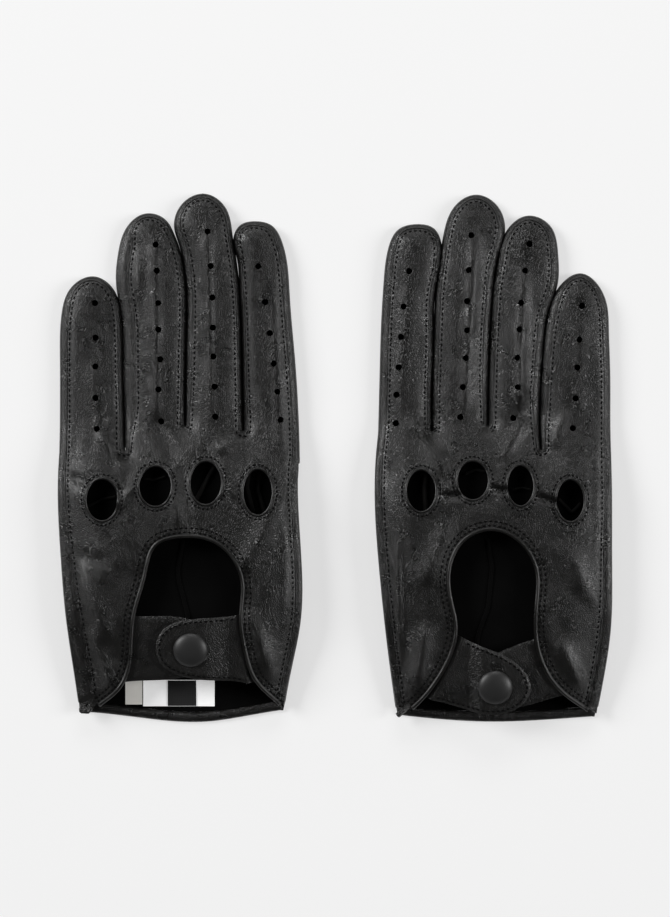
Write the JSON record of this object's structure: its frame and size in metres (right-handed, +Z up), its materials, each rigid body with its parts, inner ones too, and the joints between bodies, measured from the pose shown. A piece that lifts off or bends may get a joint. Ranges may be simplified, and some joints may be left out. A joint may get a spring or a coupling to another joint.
{
  "type": "pair of leather driving gloves",
  "caption": "Pair of unlined black leather driving gloves with perforated fingers, oval knuckle holes, a bound keyhole back and a snap tab at the wrist.",
  "frame": {"origin": "middle of the pair, on the surface that the gloves lie on", "axes": "+Z up, +Y towards the fingertips, +X from the left glove to the right glove"},
  "size_m": [0.2458, 0.2363, 0.0185],
  "materials": {
    "black_nappa": "semi-gloss drum-dyed nappa, fine grain",
    "black_fourchette": "same nappa, cut as the narrow strips between the fingers",
    "black_binding": "rolled nappa binding, slightly glossier on its ridge",
    "black_suede_side": "matt napped flesh side of the leather",
    "black_snap_enamel": "matt black enamelled snap cap",
    "nickel_snap_metal": "nickel-plated brass snap hardware",
    "white_satin_label": "blank white satin label",
    "white_label_tape": "off-white woven size label, blank",
    "black_tape": "black woven tape"
  },
  "bodies": {
    "left_hand": {"left_back_panel": "black_nappa", "left_palm_panel": "black_nappa", "left_wrist_hem": "black_nappa", "left_keyhole_binding": "black_binding", "left_keyhole_facing": "black_suede_side", "left_knuckle_rims": "black_binding", "left_stud_strap": "black_nappa", "left_snap_stud": "nickel_snap_metal", "left_stud_rivet": "nickel_snap_metal", "left_size_label": "white_label_tape", "left_care_label": "white_satin_label", "left_hanging_tape": "black_tape"},
    "left_index_finger": {"left_index_back": "black_nappa", "left_index_palm": "black_nappa", "left_index_fourchette": "black_fourchette"},
    "left_middle_finger": {"left_middle_back": "black_nappa", "left_middle_palm": "black_nappa", "left_middle_fourchette": "black_fourchette"},
    "left_ring_finger": {"left_ring_back": "black_nappa", "left_ring_palm": "black_nappa", "left_ring_fourchette": "black_fourchette"},
    "left_little_finger": {"left_little_back": "black_nappa", "left_little_palm": "black_nappa", "left_little_fourchette": "black_fourchette"},
    "left_thumb": {"left_thumb_back": "black_nappa", "left_thumb_palm": "black_nappa"},
    "left_tab": {"left_snap_tab": "black_nappa", "left_snap_cap": "black_snap_enamel", "left_snap_socket": "nickel_snap_metal"},
    "right_hand": {"right_back_panel": "black_nappa", "right_palm_panel": "black_nappa", "right_wrist_hem": "black_nappa", "right_keyhole_binding": "black_binding", "right_keyhole_facing": "black_suede_side", "right_knuckle_rims": "black_binding", "right_stud_strap": "black_nappa", "right_snap_stud": "nickel_snap_metal", "right_stud_rivet": "nickel_snap_metal"},
    "right_index_finger": {"right_index_back": "black_nappa", "right_index_palm": "black_nappa", "right_index_fourchette": "black_fourchette"},
    "right_middle_finger": {"right_middle_back": "black_nappa", "right_middle_palm": "black_nappa", "right_middle_fourchette": "black_fourchette"},
    "right_ring_finger": {"right_ring_back": "black_nappa", "right_ring_palm": "black_nappa", "right_ring_fourchette": "black_fourchette"},
    "right_little_finger": {"right_little_back": "black_nappa", "right_little_palm": "black_nappa", "right_little_fourchette": "black_fourchette"},
    "right_thumb": {"right_thumb_back": "black_nappa", "right_thumb_palm": "black_nappa"},
    "right_tab": {"right_snap_tab": "black_nappa", "right_snap_cap": "black_snap_enamel", "right_snap_socket": "nickel_snap_metal"}
  },
  "joints": [
    {"name": "left_little_lift", "type": "hinge", "parent": "left_hand", "child": "left_little_finger", "pos_m": [-0.1086, 0.0083, 0.01043], "axis": [1, 0, 0], "range_deg": [0, 60]},
    {"name": "left_ring_lift", "type": "hinge", "parent": "left_hand", "child": "left_ring_finger", "pos_m": [-0.0806, 0.0228, 0.009], "axis": [1, 0, 0], "range_deg": [0, 60]},
    {"name": "left_middle_lift", "type": "hinge", "parent": "left_hand", "child": "left_middle_finger", "pos_m": [-0.054, 0.0228, 0.009], "axis": [1, 0, 0], "range_deg": [0, 60]},
    {"name": "left_index_lift", "type": "hinge", "parent": "left_hand", "child": "left_index_finger", "pos_m": [-0.029, 0.0228, 0.009], "axis": [1, 0, 0], "range_deg": [0, 60]},
    {"name": "left_thumb_open", "type": "hinge", "parent": "left_hand", "child": "left_thumb", "pos_m": [-0.0155, -0.053, 0.0072], "axis": [0, -1, 0], "range_deg": [0, 90]},
    {"name": "left_tab_unsnap", "type": "hinge", "parent": "left_hand", "child": "left_tab", "pos_m": [-0.04145, -0.08478, 0.01413], "axis": [-0.1513, 0.982, 0.1133], "range_deg": [0, 130]},
    {"name": "right_glove_apart", "type": "slide", "parent": "left_hand", "child": "right_hand", "axis": [1, 0, 0], "range_m": [0, 0.15]},
    {"name": "right_little_lift", "type": "hinge", "parent": "right_hand", "child": "right_little_finger", "pos_m": [0.1075, 0.0083, 0.01043], "axis": [1, 0, 0], "range_deg": [0, 60]},
    {"name": "right_ring_lift", "type": "hinge", "parent": "right_hand", "child": "right_ring_finger", "pos_m": [0.0805, 0.0228, 0.009], "axis": [1, 0, 0], "range_deg": [0, 60]},
    {"name": "right_middle_lift", "type": "hinge", "parent": "right_hand", "child": "right_middle_finger", "pos_m": [0.0562, 0.0228, 0.009], "axis": [1, 0, 0], "range_deg": [0, 60]},
    {"name": "right_index_lift", "type": "hinge", "parent": "right_hand", "child": "right_index_finger", "pos_m": [0.0315, 0.0228, 0.009], "axis": [1, 0, 0], "range_deg": [0, 60]},
    {"name": "right_thumb_open", "type": "hinge", "parent": "right_hand", "child": "right_thumb", "pos_m": [0.0204, -0.05298, 0.0072], "axis": [-0.0872, 0.9962, 0], "range_deg": [0, 90]},
    {"name": "right_tab_unsnap", "type": "hinge", "parent": "right_hand", "child": "right_tab", "pos_m": [0.0498, -0.09348, 0.01313], "axis": [-0.4333, -0.8953, -0.1033], "range_deg": [0, 130]}
  ]
}
